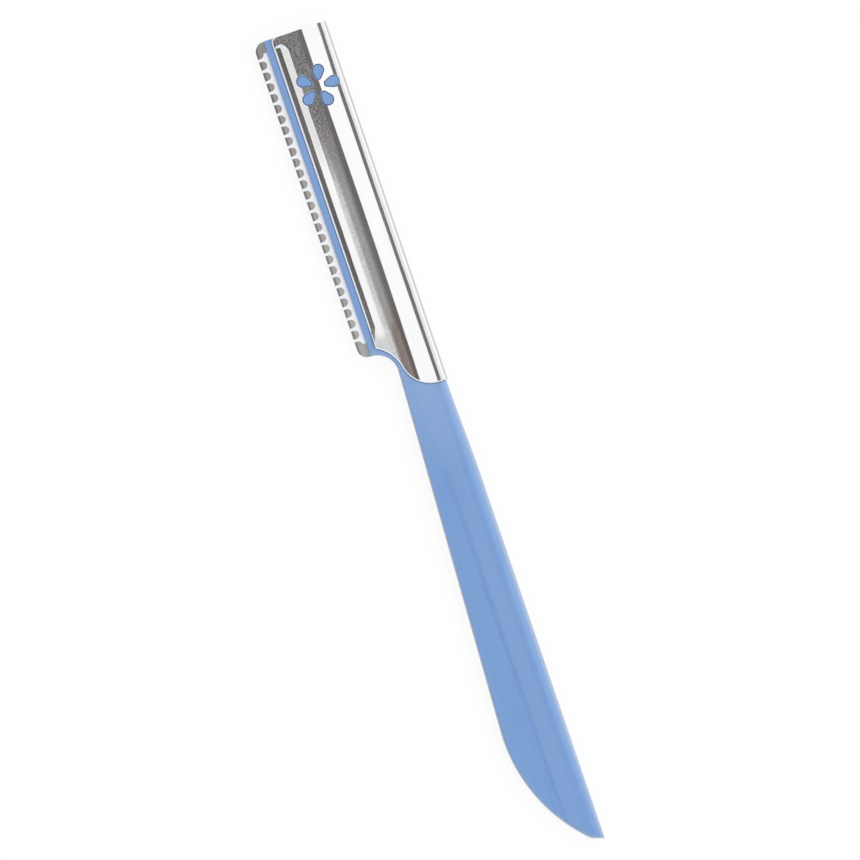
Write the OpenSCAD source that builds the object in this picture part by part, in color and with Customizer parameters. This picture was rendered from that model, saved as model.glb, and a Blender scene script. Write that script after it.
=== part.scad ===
// Long straight razor for eyebrows and facial hair: one moulded plastic handle,
// a folded sheet cover on its spine, a thin blade and a perforated guard.
// The razor lies on its side. X runs from the head end to the pointed tail,
// Y from the cutting edge to the spine, Z is up. Millimetres.

/* [Overall] */
// length from the head end to the pointed tail
overall_l = 152; // [140:1:170]
// thickness over the ridges on both sides
overall_t = 3.8; // [3.7:0.05:4.4]

/* [Handle] */
// width of the narrow neck, from the spine
neck_w = 7.8; // [7:0.1:8.2]
// radius of the hollow between the blade's end and the neck
neck_r = 3.8; // [2.5:0.1:4]
// greatest width of the handle, near its tail
belly_w = 11.3; // [9.5:0.1:13]
// where the greatest width lies, as a share of the overall length
belly_share = 0.8445; // [0.8:0.005:0.86]
// radius of the curve from the greatest width to the tip
tail_r = 29.5; // [27:0.5:36]
// width of the slanted end at the tip
tip_w = 1.9; // [1:0.1:3]
// how far the end at the tip slants back
tip_slant = 0.5; // [0.2:0.1:1.2]
// thickness at the tip, to which the ridges come down from the greatest width on
tip_t = 2.8; // [2.7:0.1:3.6]
// thickness of the handle's flat side zones
flat_t = 2.3; // [2.2:0.05:2.6]
// distance from the spine to the crease where the ridge starts
grip_crease_y = 5.4; // [5:0.1:6]
// distance from the spine to the ridge's inner side
grip_ridge_y = 2.7; // [2.3:0.1:3.2]
// radius of the round spine of the handle
grip_spine_r = 1.8; // [1.5:0.1:1.8]
// width of the bevels on the edges of the handle's blade side
grip_bevel = 0.5; // [0.2:0.1:0.9]
// length over which the handle swells up from under the cover's end
swell_l = 17.5; // [10:0.5:24]
// width of the plastic lips that clamp the blade, from the spine
lip_w = 11.6; // [11.3:0.1:12]
// thickness over both lips at their mouth
lip_t = 1.4; // [1.1:0.1:1.8]
// length of the bevel on the lips
lip_bevel = 0.7; // [0.4:0.1:1]
// radius of the moulded stakes that hold the blade
stake_r = 0.9; // [0.6:0.1:1]

/* [Spine cover] */
// thickness of the folded sheet
sheet_t = 0.35; // [0.25:0.05:0.4]
// width of the cover, from the spine
cover_w = 10.35; // [10:0.05:10.5]
// distance from the spine to the crease where the cover's ridge starts
cover_crease_y = 4.55; // [4.4:0.05:5.2]
// distance from the spine to the ridge's inner side
cover_ridge_y = 1.7; // [1.65:0.05:2.2]
// outside radius of the folds along the spine
cover_spine_r = 1.4; // [1:0.1:1.6]
// radius of the cover's corner at the head end
cover_corner_r = 0.8; // [0.3:0.1:1.2]
// radius of the cover's round lobe at the neck
lobe_r = 5.55; // [5.2:0.05:6.2]
// depth of the lobe's centre below the spine
lobe_y = 1.45; // [1:0.05:1.6]
// how far the lobe reaches past the neck
lobe_reach = 4.3; // [3.5:0.1:5.5]
// radius of the hollow curve between the lobe and the cover's edge
bay_r = 6.6; // [6.2:0.05:7]
// direction of the hollow curve's centre from the lobe's centre, in degrees
bay_turn = 79.2; // [78:0.2:82]
// width of the pressed bead along the cover
bead_w = 2; // [1.6:0.1:2.1]
// distance from the spine to the middle of the bead
bead_y = 8.93; // [8.8:0.01:9]
// gap between the head end and the bead
bead_start = 1.6; // [1:0.1:4]
// gap between the bead's other end and the end of the blade
bead_stop = 1.7; // [1.5:0.1:6]
// distance from the head end to the middle of the flower
flower_x = 10.6; // [8:0.01:14]
// distance from the spine to the middle of the flower
flower_y = 4.99; // [4.9:0.01:5.2]
// number of petals
petals = 5; // [4:1:5]
// distance from the flower's middle to a petal's outer end
petal_out = 3.9; // [3.5:0.01:4]
// distance from the flower's middle to a petal's inner end
petal_in = 1.15; // [1:0.05:1.4]
// radius of a petal's outer end
petal_r = 1; // [0.8:0.05:1.1]
// radius of a petal's inner end
petal_tip_r = 0.55; // [0.3:0.05:0.6]

/* [Blade] */
// length of the blade
blade_l = 58.5; // [52:0.5:64]
// distance from the spine to the cutting edge
edge_w = 13.5; // [13.1:0.1:13.9]
// distance from the spine to the blade's hidden back edge
blade_back = 7.4; // [7:0.1:7.6]
// thickness of the blade
blade_t = 0.25; // [0.2:0.05:0.3]
// width of the ground bevels
bevel_w = 0.4; // [0.3:0.05:0.6]
// corner radius at the head end
corner_head_r = 1.8; // [1:0.1:1.9]
// corner radius at the neck end
corner_neck_r = 1.8; // [1:0.1:2]
// radius of the holes for the stakes
hole_r = 1; // [0.7:0.1:1.1]

/* [Edge guard] */
// thickness of the guard's strip
guard_t = 0.1; // [0.08:0.01:0.12]
// distance between the middles of two windows
guard_pitch = 2; // [1.6:0.1:2.4]
// length of a window along the edge
window_l = 1.5; // [1.1:0.05:1.5]
// depth of a window from the cutting edge
window_d = 1.25; // [1:0.05:1.4]
// gap between the head end and the guard
guard_start = 2; // [1.5:0.1:2.6]
// gap between the guard's nose and the cutting edge
nose_gap = 0.05; // [0.03:0.01:0.1]
// depth of the guard's strip inside the lips
guard_grip = 1.4; // [1.2:0.1:1.45]

/* [Hidden] */
$fn = 64;
over = 0.5;
fit = 0.05;
tiny = 0.01;
stake_shares = [0.24, 0.5, 0.76];

half_t = overall_t / 2;
flat_h = flat_t / 2;
cover_h = flat_h + sheet_t;
bead_h = half_t - cover_h;
neck_x = blade_l + neck_r;
belly_x = overall_l * belly_share;
taper = atan((belly_w - neck_w) / (belly_x - neck_x));
tail_x = belly_x + tail_r * sin(taper);
tail_y = tail_r * cos(taper) - belly_w;
cover_end = neck_x + lobe_reach;
lobe_x = cover_end - lobe_r;
bay_x = lobe_x + (lobe_r + bay_r) * cos(bay_turn);
bay_y = -lobe_y - (lobe_r + bay_r) * sin(bay_turn);
touch_x = lobe_x + lobe_r * cos(bay_turn);
cover_start = fit * 2;
nose_y = edge_w + nose_gap + guard_t;
width = nose_y;
slot_guard_t = blade_t + guard_t * 2;
guard_back = lip_w - guard_grip;
guard_cells = floor((blade_l - guard_start - corner_neck_r) / guard_pitch);
guard_l = guard_cells * guard_pitch;
stake_y = (blade_back + guard_back) / 2;

// sets the razor's lowest point on the floor and its middle over the origin
module placed() {
    translate([-overall_l / 2, width / 2, half_t]) children();
}

// turns a drawing of Y and Z into a bar along X
module along(from, to) {
    translate([from, 0, 0]) rotate([90, 0, 90]) linear_extrude(height = to - from) children();
}

// cross section with a flat zone, a slope, a ridge and a round spine, set in from its surface
module section(side_h, crease_y, ridge_y, spine_r, edge_y, inset) {
    rise = atan((half_t - side_h) / (crease_y - ridge_y));
    shift = inset * tan(rise / 2);
    flat = side_h - inset;
    top = half_t - inset;
    polygon([
        [-edge_y, flat], [-crease_y + shift, flat], [-ridge_y + shift, top], [-spine_r, top],
        [-spine_r, -top], [-ridge_y + shift, -top], [-crease_y + shift, -flat], [-edge_y, -flat]
    ]);
    for (s = [-1, 1]) translate([-spine_r, s * (half_t - spine_r)]) circle(r = spine_r - inset);
    translate([-spine_r - tiny, -(half_t - spine_r)])
        square([spine_r + tiny - inset, (half_t - spine_r) * 2]);
}

module cover_section(edge_y, inset) {
    section(cover_h, cover_crease_y, cover_ridge_y, cover_spine_r, edge_y, inset);
}

module grip_section() {
    section(flat_h, grip_crease_y, grip_ridge_y, grip_spine_r, edge_w, 0);
}

// petals of the flower seen from above, grown or shrunk by a margin
module flower(grow) {
    from = petal_in + petal_tip_r;
    to = petal_out - petal_r;
    lean = asin((petal_r - petal_tip_r) / (to - from));
    small = petal_tip_r + grow;
    large = petal_r + grow;
    translate([flower_x, -flower_y]) for (i = [0:petals - 1]) rotate(90 + i * 360 / petals) {
        translate([from, 0]) circle(r = small);
        translate([to, 0]) circle(r = large);
        polygon([
            [from - small * sin(lean), small * cos(lean)],
            [from - small * sin(lean), -small * cos(lean)],
            [to - large * sin(lean), -large * cos(lean)],
            [to - large * sin(lean), large * cos(lean)]
        ]);
    }
}

// outline of the head's plastic core seen from above
module core_outline() {
    difference() {
        translate([0, -lip_w]) square([neck_x, lip_w]);
        translate([neck_x, -neck_w - neck_r]) circle(r = neck_r);
        translate([blade_l, -lip_w - over]) square([neck_r + over, lip_w + over - neck_w - neck_r]);
    }
}

// outline of the handle behind the neck seen from above
module grip_outline() {
    polygon([
        [neck_x - over, -neck_w], [neck_x, -neck_w], [belly_x, -belly_w],
        [belly_x + tiny, -belly_w], [belly_x + tiny, 0],
        [cover_end + swell_l, 0], [cover_end, -sheet_t], [neck_x - over, -sheet_t]
    ]);
    intersection() {
        translate([tail_x, tail_y]) circle(r = tail_r, $fn = 128);
        polygon([
            [belly_x, -belly_w - over], [belly_x, 0], [overall_l, 0],
            [overall_l - tip_slant, -tip_w], [overall_l - tip_slant, -belly_w - over]
        ]);
    }
}

// side view of the handle: slim under the cover, full behind it, slim and round at the tip
module grip_side() {
    slim = half_t - sheet_t;
    tip_r = tip_t / 2;
    polygon([
        [neck_x - over, -slim], [cover_end, -slim], [cover_end + swell_l, -half_t], [belly_x, -half_t],
        [overall_l - tip_r, -tip_r], [overall_l - tip_r, tip_r],
        [belly_x, half_t], [cover_end + swell_l, half_t], [cover_end, slim], [neck_x - over, slim]
    ]);
    translate([overall_l - tip_r, 0]) circle(r = tip_r);
}

// what an edge rounding takes away from a corner at the middle, drawn for the corner's lower right
module round_corner(r) {
    difference() {
        translate([-over, -over]) square([r + over, r + over]);
        translate([r, r]) circle(r = r);
    }
}

// what a bevel takes away from a corner at the middle
module bevel_corner(w) {
    polygon([[-over, -over], [w + over, -over], [-over, w + over]]);
}

module grip_edges() {
    side = (belly_x - neck_x) / cos(taper);
    turn = acos((tail_y + grip_crease_y) / tail_r) + taper;
    for (s = [0, 1]) mirror([0, 0, s]) {
        translate([neck_x, -neck_w, -flat_h]) rotate(-taper) along(-over, side) bevel_corner(grip_bevel);
        translate([tail_x, tail_y, -flat_h]) rotate(-90 - taper)
            rotate_extrude(angle = turn, $fn = 128)
                translate([tail_r, 0]) mirror([1, 0]) bevel_corner(grip_bevel);
    }
}

module grip() {
    difference() {
        intersection() {
            along(neck_x - over, overall_l) grip_section();
            translate([0, 0, -overall_t]) linear_extrude(height = overall_t * 2) grip_outline();
            rotate([90, 0, 0]) linear_extrude(height = edge_w * 3, center = true) grip_side();
        }
        grip_edges();
    }
}

module core() {
    tip_h = lip_t / 2;
    intersection() {
        union() {
            along(0, neck_x + tiny) cover_section(lip_w - lip_bevel, sheet_t);
            along(0, neck_x + tiny) polygon([
                [-lip_w, -tip_h], [-lip_w + lip_bevel, -flat_h], [-lip_w + lip_bevel + over, -flat_h],
                [-lip_w + lip_bevel + over, flat_h], [-lip_w + lip_bevel, flat_h], [-lip_w, tip_h]
            ]);
        }
        translate([0, 0, -overall_t]) linear_extrude(height = overall_t * 2) core_outline();
    }
    intersection() {
        along(0, neck_x) cover_section(cover_w, fit);
        translate([0, 0, -overall_t]) linear_extrude(height = overall_t * 2) flower(-fit);
    }
}

// the slit for the blade and the wider slit for the guard's strip
module slot() {
    translate([-over, -lip_w - over, -blade_t / 2])
        cube([blade_l + over, lip_w + over - blade_back, blade_t]);
    translate([-over, -lip_w - over, -slot_guard_t / 2])
        cube([blade_l + over, lip_w + over - guard_back, slot_guard_t]);
}

module handle() color([0.50, 0.64, 0.84]) placed() {
    difference() {
        union() {
            core();
            grip();
        }
        slot();
    }
    for (k = stake_shares)
        translate([blade_l * k, -stake_y, -blade_t]) cylinder(r = stake_r, h = blade_t * 2);
}

// outline of the cover seen from above
module cover_outline() {
    difference() {
        union() {
            translate([cover_start, -cover_w]) square([touch_x - cover_start, cover_w]);
            intersection() {
                translate([lobe_x, -lobe_y]) circle(r = lobe_r);
                translate([lobe_x, -lobe_y - lobe_r]) square([lobe_r, lobe_y + lobe_r]);
            }
        }
        translate([bay_x, bay_y]) circle(r = bay_r);
        translate([cover_start, -cover_w]) round_corner(cover_corner_r);
    }
}

// a bead with ball ends along X, cut off below the sheet it stands on
module bead(base, r) {
    full = (pow(bead_w / 2, 2) + pow(bead_h, 2)) / (2 * bead_h);
    from = bead_start + bead_w / 2;
    to = blade_l - bead_stop - bead_w / 2;
    intersection() {
        translate([0, -bead_y, cover_h + bead_h - full]) {
            translate([from, 0, 0]) rotate([0, 90, 0]) cylinder(r = full - r, h = to - from);
            for (x = [from, to]) translate([x, 0, 0]) sphere(r = full - r);
        }
        translate([0, -bead_y - bead_w, base]) cube([blade_l, bead_w * 2, overall_t]);
    }
}

module cover_shell() {
    difference() {
        intersection() {
            along(cover_start, cover_end + over) difference() {
                cover_section(cover_w + over, 0);
                cover_section(cover_w + over * 2, sheet_t);
            }
            translate([0, 0, -overall_t]) linear_extrude(height = overall_t * 2) cover_outline();
        }
        translate([0, 0, -overall_t]) linear_extrude(height = overall_t * 2) flower(0);
    }
}

module spine_cover() color([0.80, 0.81, 0.83]) placed() {
    difference() {
        union() {
            cover_shell();
            for (s = [0, 1]) mirror([0, 0, s]) bead(flat_h + sheet_t / 2, 0);
        }
        for (s = [0, 1]) mirror([0, 0, s]) bead(flat_h, sheet_t);
    }
}

module blade_section() {
    h = blade_t / 2;
    polygon([
        [-blade_back, h], [-edge_w + bevel_w, h], [-edge_w, tiny], [-edge_w, -tiny],
        [-edge_w + bevel_w, -h], [-blade_back, -h]
    ]);
}

module blade_outline() {
    difference() {
        translate([0, -edge_w - over]) square([blade_l, edge_w + over]);
        translate([0, -edge_w]) round_corner(corner_head_r);
        translate([blade_l, -edge_w]) mirror([1, 0]) round_corner(corner_neck_r);
        for (k = stake_shares) translate([blade_l * k, -stake_y]) circle(r = hole_r);
    }
}

module blade() color([0.66, 0.67, 0.70]) placed() {
    intersection() {
        along(0, blade_l) blade_section();
        translate([0, 0, -overall_t]) linear_extrude(height = overall_t * 2) blade_outline();
    }
}

// the folded strip's cross section: two legs joined by a round nose
module guard_section() {
    nose_c = nose_y - slot_guard_t / 2;
    difference() {
        union() {
            translate([-nose_c, -slot_guard_t / 2]) square([nose_c - guard_back, slot_guard_t]);
            translate([-nose_c, 0]) circle(r = slot_guard_t / 2);
        }
        translate([-nose_c, -blade_t / 2]) square([nose_c, blade_t]);
        translate([-nose_c, 0]) circle(r = blade_t / 2);
    }
}

module guard_windows() {
    middle_y = window_d - window_l / 2 - edge_w;
    for (i = [0:guard_cells]) translate([guard_start + i * guard_pitch, middle_y]) {
        circle(r = window_l / 2);
        translate([-window_l / 2, -window_d]) square([window_l, window_d]);
    }
}

module edge_guard() color([0.90, 0.91, 0.92]) placed() {
    difference() {
        along(guard_start, guard_start + guard_l) guard_section();
        translate([0, 0, -overall_t]) linear_extrude(height = overall_t * 2) guard_windows();
    }
}

handle();
spine_cover();
blade();
edge_guard();
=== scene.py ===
"""Looks of a long, straight eyebrow razor that lies on its side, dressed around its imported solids.

The razor is drawn in millimetres: x runs from the head end to the tail, y is zero at the spine and
falls towards the cutting edge, and z is zero half way through the thickness. Each finished piece is
then set in metres where its solid is, and its material is laid out in the same millimetres.
"""

import logging
import math
from collections.abc import Callable
from dataclasses import astuple, dataclass, replace
from enum import Enum
from functools import cached_property
from typing import ClassVar

import bmesh
import bpy
from bmesh.types import BMEdge, BMesh, BMVert
from mathutils import Matrix, Vector


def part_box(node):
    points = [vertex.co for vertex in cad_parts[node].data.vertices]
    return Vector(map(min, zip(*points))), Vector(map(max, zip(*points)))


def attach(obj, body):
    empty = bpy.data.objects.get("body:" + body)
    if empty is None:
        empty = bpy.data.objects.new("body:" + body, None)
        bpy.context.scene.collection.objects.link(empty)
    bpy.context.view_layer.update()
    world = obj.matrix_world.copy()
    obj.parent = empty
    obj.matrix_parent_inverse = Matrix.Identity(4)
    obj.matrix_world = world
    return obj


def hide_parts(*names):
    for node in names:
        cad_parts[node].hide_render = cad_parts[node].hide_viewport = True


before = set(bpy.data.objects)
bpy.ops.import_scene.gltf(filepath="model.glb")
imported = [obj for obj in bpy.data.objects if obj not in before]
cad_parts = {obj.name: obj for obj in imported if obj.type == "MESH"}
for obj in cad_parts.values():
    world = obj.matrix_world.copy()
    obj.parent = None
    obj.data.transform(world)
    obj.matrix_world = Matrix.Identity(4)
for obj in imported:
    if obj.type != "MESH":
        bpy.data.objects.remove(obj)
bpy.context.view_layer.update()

LOG = logging.getLogger("razor")
BODY = "root"
MM = 0.001
# points that are closer than this are one point
MERGE = 0.002
# how much further the inner side of a sheet may reach at a sharp fold
MOST_MITRE = 1.4
WHITE = (1, 1, 1, 1)
QUARTER_TURN = math.pi / 2

Colour = tuple[float, float, float, float]
Grain = tuple[float, float, float]
Span = tuple[float, float]
Socket = bpy.types.NodeSocket
SurfaceAt = Callable[[float, float], float]


class Side(Enum):
    """The two broad sides of the razor, as the sign of z."""

    UPPER = 1
    LOWER = -1


def soft_ramp(value: float, reach: float) -> float:
    """Zero below zero and the value above it, with a rounded corner.

    Args:
        value: Distance past the corner.
        reach: How far the rounding reaches to both sides.

    Returns:
        The rounded ramp's height.
    """
    if value <= -reach:
        return 0.0
    if value >= reach:
        return value
    return (value + reach) ** 2 / (4 * reach)


def smooth(value: float, low: float, high: float) -> float:
    """Runs softly from 0 at low to 1 at high."""
    share = min(1.0, max(0.0, (value - low) / (high - low)))
    return share * share * (3 - 2 * share)


def mixed(first: float, second: float, share: float) -> float:
    """The value at a share of the way from the first to the second."""
    return first + (second - first) * share


def spread(first: float, last: float, steps: int) -> list[float]:
    """Evenly spaced values from the first to the last, with both of them."""
    return [mixed(first, last, i / steps) for i in range(steps + 1)]


@dataclass(frozen=True)
class Datum:
    """Where the razor's own millimetres lie in the frame."""

    head_x: float
    spine_y: float
    mid_z: float

    @classmethod
    def of_handle(cls) -> "Datum":
        """Reads the datum from the handle's solid."""
        low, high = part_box("handle")
        return cls(low.x, high.y, (low.z + high.z) / 2)

    def matrix(self) -> Matrix:
        """Turns razor millimetres into metres in the frame."""
        place = Matrix.Translation((self.head_x, self.spine_y, self.mid_z))
        return place @ Matrix.Scale(MM, 4)

    def across(self, y: float) -> float:
        """The frame's Y of a distance from the spine, in metres."""
        return self.spine_y + y * MM

    def along(self, x: float) -> float:
        """The frame's X of a distance from the head end, in metres."""
        return self.head_x + x * MM


@dataclass
class Pen:
    """Draws an outline in plan as a chain of edges, by extruding and spinning its last corner."""

    mesh: BMesh
    tip: BMVert

    @classmethod
    def at(cls, mesh: BMesh, x: float, y: float) -> "Pen":
        """Puts the pen down at a point."""
        return cls(mesh, mesh.verts.new((x, y, 0)))

    def line(self, x: float, y: float) -> None:
        """Draws a straight line to a point.

        Args:
            x: The point's place along the razor.
            y: Its place across the razor.
        """
        made = bmesh.ops.extrude_vert_indiv(self.mesh, verts=[self.tip])
        self.tip = made["verts"][0]
        self.tip.co = (x, y, 0)

    def arc(self, centre: tuple[float, float], degrees: float, steps: int) -> None:
        """Draws an arc from the last corner.

        Args:
            centre: The arc's centre in plan.
            degrees: How far it turns, positive from x towards y.
            steps: Number of straight pieces.
        """
        made = bmesh.ops.spin(
            self.mesh, geom=[self.tip], cent=(*centre, 0), axis=(0, 0, 1), dvec=(0, 0, 0),
            angle=math.radians(degrees), steps=steps, use_merge=False, use_normal_flip=False,
            use_duplicate=False,
        )
        self.tip = next(item for item in made["geom_last"] if isinstance(item, BMVert))


def merge(mesh: BMesh) -> None:
    """Joins points of the mesh that lie on each other."""
    bmesh.ops.remove_doubles(mesh, verts=mesh.verts[:], dist=MERGE)


def corners(edges: list[BMEdge]) -> list[BMVert]:
    """The end points of edges, each of them once."""
    return list(dict.fromkeys(point for edge in edges for point in edge.verts))


def face_out(mesh: BMesh) -> None:
    """Turns the faces of an open sheet to its outer side, which is up on its highest face.

    Args:
        mesh: The sheet.
    """
    mesh.normal_update()
    bmesh.ops.recalc_face_normals(mesh, faces=mesh.faces[:])
    top = max(mesh.faces[:], key=lambda face: face.calc_center_median().z)
    if top.normal.z < 0:
        bmesh.ops.reverse_faces(mesh, faces=mesh.faces[:])


def cut_across(mesh: BMesh, places: list[float], axis: Vector) -> None:
    """Cuts the mesh along planes, so that it can bend there.

    Args:
        mesh: The mesh that is cut.
        places: Where the planes cross the axis.
        axis: The planes' normal.
    """
    for place in places:
        every = mesh.verts[:] + mesh.edges[:] + mesh.faces[:]
        bmesh.ops.bisect_plane(mesh, geom=every, dist=MERGE, plane_co=axis * place, plane_no=axis)


def drape(points: list[BMVert], surface: SurfaceAt) -> None:
    """Lifts flat points onto a surface that is given as a height over plan."""
    for point in points:
        point.co.z += surface(point.co.x, point.co.y)


def thicken(mesh: BMesh, thickness: float) -> None:
    """Gives a sheet its thickness on the inner side and closes its cut edges.

    Args:
        mesh: The sheet's outer surface, with its faces pointing out.
        thickness: How thick the sheet is.
    """
    mesh.normal_update()
    inward = mesh.verts.layers.float_vector.new("inward")
    for point in mesh.verts:
        point[inward] = -point.normal * min(point.calc_shell_factor(), MOST_MITRE) * thickness
    made = bmesh.ops.extrude_face_region(mesh, geom=mesh.faces[:], use_keep_orig=True)["geom"]
    for point in (item for item in made if isinstance(item, BMVert)):
        point.co += point[inward]
    mesh.verts.layers.float_vector.remove(inward)
    bmesh.ops.recalc_face_normals(mesh, faces=mesh.faces[:])


def put_in_frame(mesh: BMesh, datum: Datum, name: str, material: bpy.types.Material, node: str,
                 crisp: float) -> bpy.types.Object:
    """Makes a finished mesh a piece of the razor.

    Args:
        mesh: The mesh in razor millimetres, which is freed.
        datum: Where the razor lies.
        name: The piece's name.
        material: Its finish.
        node: The solid that it stands for, which it hides.
        crisp: Angle in degrees from which an edge stays crisp.

    Returns:
        The new piece.
    """
    mesh.transform(datum.matrix())
    data = bpy.data.meshes.new(name)
    mesh.to_mesh(data)
    mesh.free()
    data.materials.append(material)
    data.shade_smooth()
    data.set_sharp_from_angle(angle=math.radians(crisp))
    piece = bpy.data.objects.new(name, data)
    bpy.context.scene.collection.objects.link(piece)
    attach(piece, BODY)
    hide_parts(node)
    LOG.info("%s: %d faces", name, len(data.polygons))
    return piece


class Graph:
    """Adds shader nodes to a tree and joins them."""

    def __init__(self, tree: bpy.types.NodeTree) -> None:
        """Starts from a tree and its texture coordinates."""
        self.tree = tree
        self.coords = tree.nodes.new("ShaderNodeTexCoord")

    def feed(self, node: bpy.types.Node, inputs: dict) -> None:
        """Gives a node its inputs, by name or number, as plain values or as sockets.

        Args:
            node: The node.
            inputs: What each input gets, by name or number.
        """
        for key, value in inputs.items():
            if isinstance(value, Socket):
                self.tree.links.new(value, node.inputs[key])
            else:
                node.inputs[key].default_value = value

    def add(self, kind: str, inputs: dict, **settings: object) -> bpy.types.Node:
        """Adds one node.

        Args:
            kind: The node's type.
            inputs: Values or sockets for its inputs, by name or number.
            **settings: Its properties.

        Returns:
            The node.
        """
        node = self.tree.nodes.new(kind)
        for key, value in settings.items():
            setattr(node, key, value)
        self.feed(node, inputs)
        return node

    def axes(self, source: str) -> bpy.types.NodeSocketCollection:
        """The x, y and z of a texture coordinate."""
        return self.add("ShaderNodeSeparateXYZ", {0: self.coords.outputs[source]}).outputs

    def math(self, operation: str, first: object, second: object = 0.0) -> Socket:
        """The result of a sum of two values."""
        return self.add("ShaderNodeMath", {0: first, 1: second}, operation=operation).outputs[0]

    def times(self, first: object, *others: object) -> Socket:
        """The product of two or more values.

        Args:
            first: A value or socket.
            *others: What it is multiplied with.

        Returns:
            The product.
        """
        for other in others:
            first = self.math("MULTIPLY", first, other)
        return first

    def plus(self, first: object, *others: object) -> Socket:
        """The total of two or more values.

        Args:
            first: A value or socket.
            *others: What is added to it.

        Returns:
            The total.
        """
        for other in others:
            first = self.math("ADD", first, other)
        return first

    def fade(self, value: object, span: Span) -> Socket:
        """Runs softly from 0 at a span's first value to 1 at its second, which may be the lower one.

        Args:
            value: What runs through the span.
            span: Where the result is 0 and where it is 1.

        Returns:
            The share, from 0 to 1.
        """
        low, high = span
        inputs = {"Value": value, "From Min": low, "From Max": high}
        if high < low:
            inputs = {"Value": value, "From Min": high, "From Max": low, "To Min": 1.0, "To Max": 0.0}
        return self.add("ShaderNodeMapRange", inputs, interpolation_type="SMOOTHSTEP").outputs[0]

    def line(self, value: object, middle: float, span: Span) -> Socket:
        """A soft line at a middle value: 0 from the span's first distance on, 1 within its second."""
        away = self.math("ABSOLUTE", self.math("SUBTRACT", value, middle))
        return self.fade(away, span)

    def blend(self, share: object, first: object, second: object) -> Socket:
        """Mixes two values."""
        return self.add("ShaderNodeMix", {0: share, 2: first, 3: second}, data_type="FLOAT").outputs[0]

    def tint(self, share: object, first: object, second: object) -> Socket:
        """Mixes two colours."""
        return self.add("ShaderNodeMix", {0: share, 6: first, 7: second}, data_type="RGBA").outputs[2]

    def noise(self, grain: Grain, detail: float = 2.0) -> Socket:
        """A noise over the object.

        Args:
            grain: Size of its spots along x, y and z, in millimetres.
            detail: Number of finer layers.

        Returns:
            A value around a half.
        """
        scale = tuple(1 / (size * MM) for size in grain)
        place = self.add("ShaderNodeMapping", {"Vector": self.coords.outputs["Object"], "Scale": scale})
        inputs = {"Vector": place.outputs[0], "Scale": 1.0, "Detail": detail}
        return self.add("ShaderNodeTexNoise", inputs).outputs[0]

    def bump(self, height: Socket, strength: float, depth: float) -> Socket:
        """Fine relief, as deep as a depth in millimetres."""
        inputs = {"Height": height, "Strength": strength, "Distance": depth * MM}
        return self.add("ShaderNodeBump", inputs).outputs[0]


class Skin(Graph):
    """Adds the shader nodes of a piece's surface, with places in the razor's own millimetres."""

    def __init__(self, tree: bpy.types.NodeTree, datum: Datum) -> None:
        """Starts from a tree and from where the razor lies."""
        super().__init__(tree)
        self.datum = datum

    @cached_property
    def x(self) -> Socket:
        """Place along the razor."""
        return self.math("DIVIDE", self.math("SUBTRACT", self.axes("Object")[0], self.datum.head_x), MM)

    @cached_property
    def y(self) -> Socket:
        """Place across the razor."""
        return self.math("DIVIDE", self.math("SUBTRACT", self.axes("Object")[1], self.datum.spine_y), MM)

    @cached_property
    def level(self) -> Socket:
        """How level the surface is: 1 where it faces straight up or down, 0 where it is upright."""
        return self.math("ABSOLUTE", self.axes("Normal")[2])

    def distance(self, x: float, y: float) -> Socket:
        """Distance in plan from a place.

        Args:
            x: The place along the razor.
            y: The place across the razor.

        Returns:
            The distance in millimetres.
        """
        flat = self.add("ShaderNodeCombineXYZ", {0: self.x, 1: self.y}).outputs[0]
        both = {0: flat, 1: (x, y, 0)}
        return self.add("ShaderNodeVectorMath", both, operation="DISTANCE").outputs["Value"]


@dataclass(frozen=True)
class Finish:
    """One finish of the razor, which names its sizes and places in the razor's own millimetres."""

    datum: Datum
    name: ClassVar[str] = "finish"

    def coat(self, skin: Skin) -> dict:
        """What the shader's inputs are given, by name."""
        raise NotImplementedError

    def material(self) -> bpy.types.Material:
        """Builds the material.

        Returns:
            The material.
        """
        material = bpy.data.materials.new(self.name)
        material.use_nodes = True
        skin = Skin(material.node_tree, self.datum)
        skin.feed(material.node_tree.nodes["Principled BSDF"], self.coat(skin))
        return material


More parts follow.
